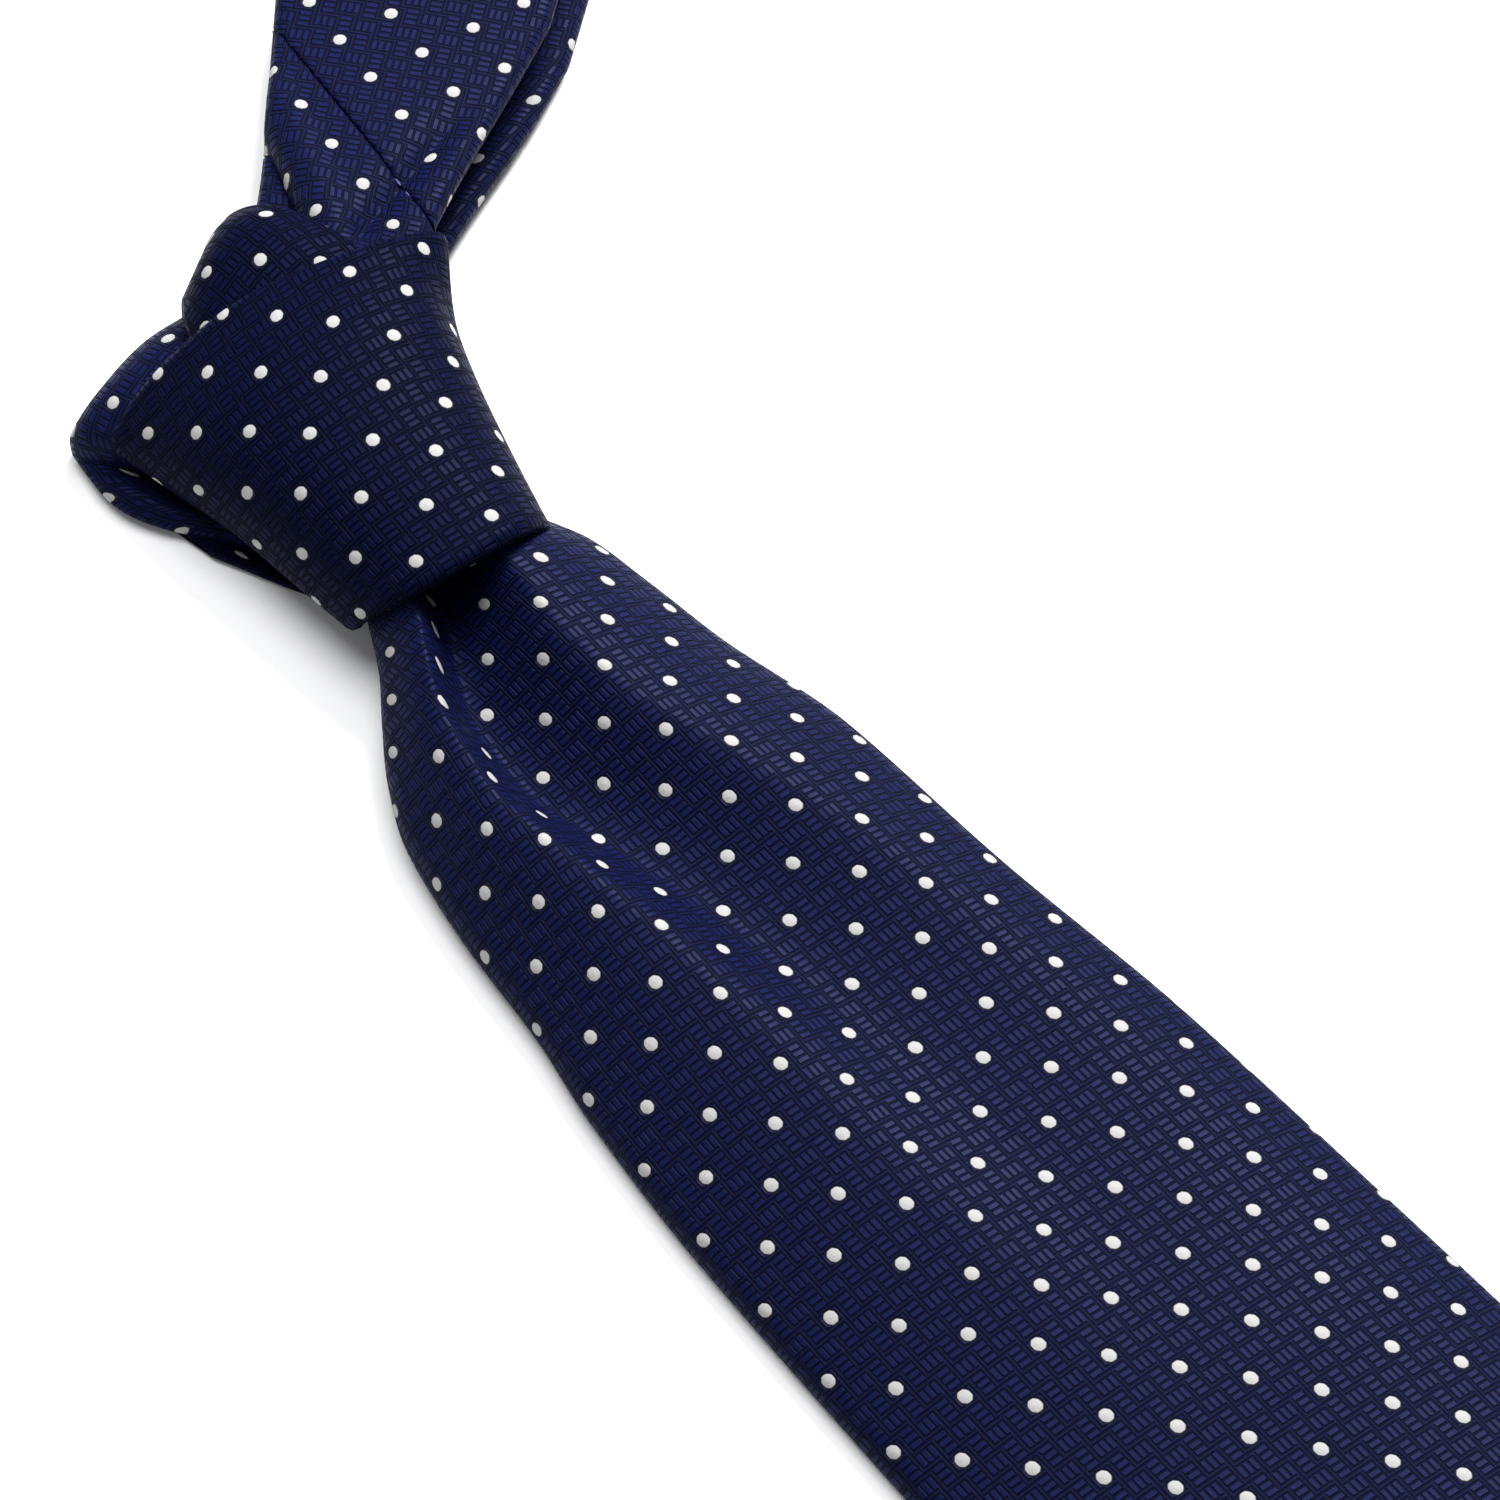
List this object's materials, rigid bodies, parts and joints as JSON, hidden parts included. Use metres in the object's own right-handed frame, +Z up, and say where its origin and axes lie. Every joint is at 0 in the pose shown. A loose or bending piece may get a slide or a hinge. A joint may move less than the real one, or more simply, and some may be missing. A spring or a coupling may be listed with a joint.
{
  "type": "necktie",
  "caption": "Silk necktie tied in a four-in-hand knot and laid face up, with a padded front blade, a tail that slides through the knot and a flattened neck loop.",
  "frame": {"origin": "on the table under the middle of the knot", "axes": "+Z up from the table, +Y from the front blade towards the upper edge of the knot, +X to the right seen from above with the front blade pointing down"},
  "size_m": [0.2203, 0.6791, 0.022],
  "materials": {
    "silk": "navy jacquard silk with small off-white dots",
    "interlining": "unbleached brushed wool interlining",
    "lining": "plain navy satin lining",
    "thread": "navy sewing thread"
  },
  "bodies": {
    "knot": {"knot_back_wrap": "silk", "knot_core": "interlining", "knot_front_wrap": "silk", "knot_front_interlining": "interlining", "knot_top_wrap": "silk", "knot_top_interlining": "interlining", "knot_side_fold": "silk", "front_blade_throat": "silk"},
    "front_blade": {"front_blade_shell": "silk", "front_blade_interlining": "interlining", "front_blade_tipping": "lining", "front_blade_slip_stitch": "thread", "front_blade_bar_tack": "thread", "keeper_loop": "silk", "keeper_stitches": "thread"},
    "tail": {"tail_shell": "silk", "tail_interlining": "interlining", "tail_tipping": "lining", "tail_slip_stitch": "thread", "tail_bar_tack": "thread"},
    "neck_loop": {"upper_leg_knot_panel": "silk", "upper_leg_neck_panel": "silk", "upper_leg_interlining": "interlining", "neck_joining_seam": "thread", "lower_leg_tail_panel": "silk", "lower_leg_neck_panel": "silk", "lower_leg_interlining": "interlining", "tail_joining_seam": "thread", "nape_band": "silk", "nape_interlining": "interlining", "neck_slip_stitch": "thread"}
  },
  "joints": [
    {"name": "front_blade_lift", "type": "hinge", "parent": "knot", "child": "front_blade", "pos_m": [-0.002, -0.04, 0.0126], "axis": [-1, 0, 0], "range_deg": [0, 45]},
    {"name": "tail_pull", "type": "slide", "parent": "knot", "child": "tail", "axis": [0, -1, 0], "range_m": [-0.03, 0.04]},
    {"name": "neck_loop_draw", "type": "slide", "parent": "knot", "child": "neck_loop", "axis": [-0.7934, -0.6088, 0], "range_m": [-0.015, 0.02]}
  ],
  "couplings": [
    {"joint": "neck_loop_draw", "follows": "tail_pull", "ratio": 0.5}
  ]
}
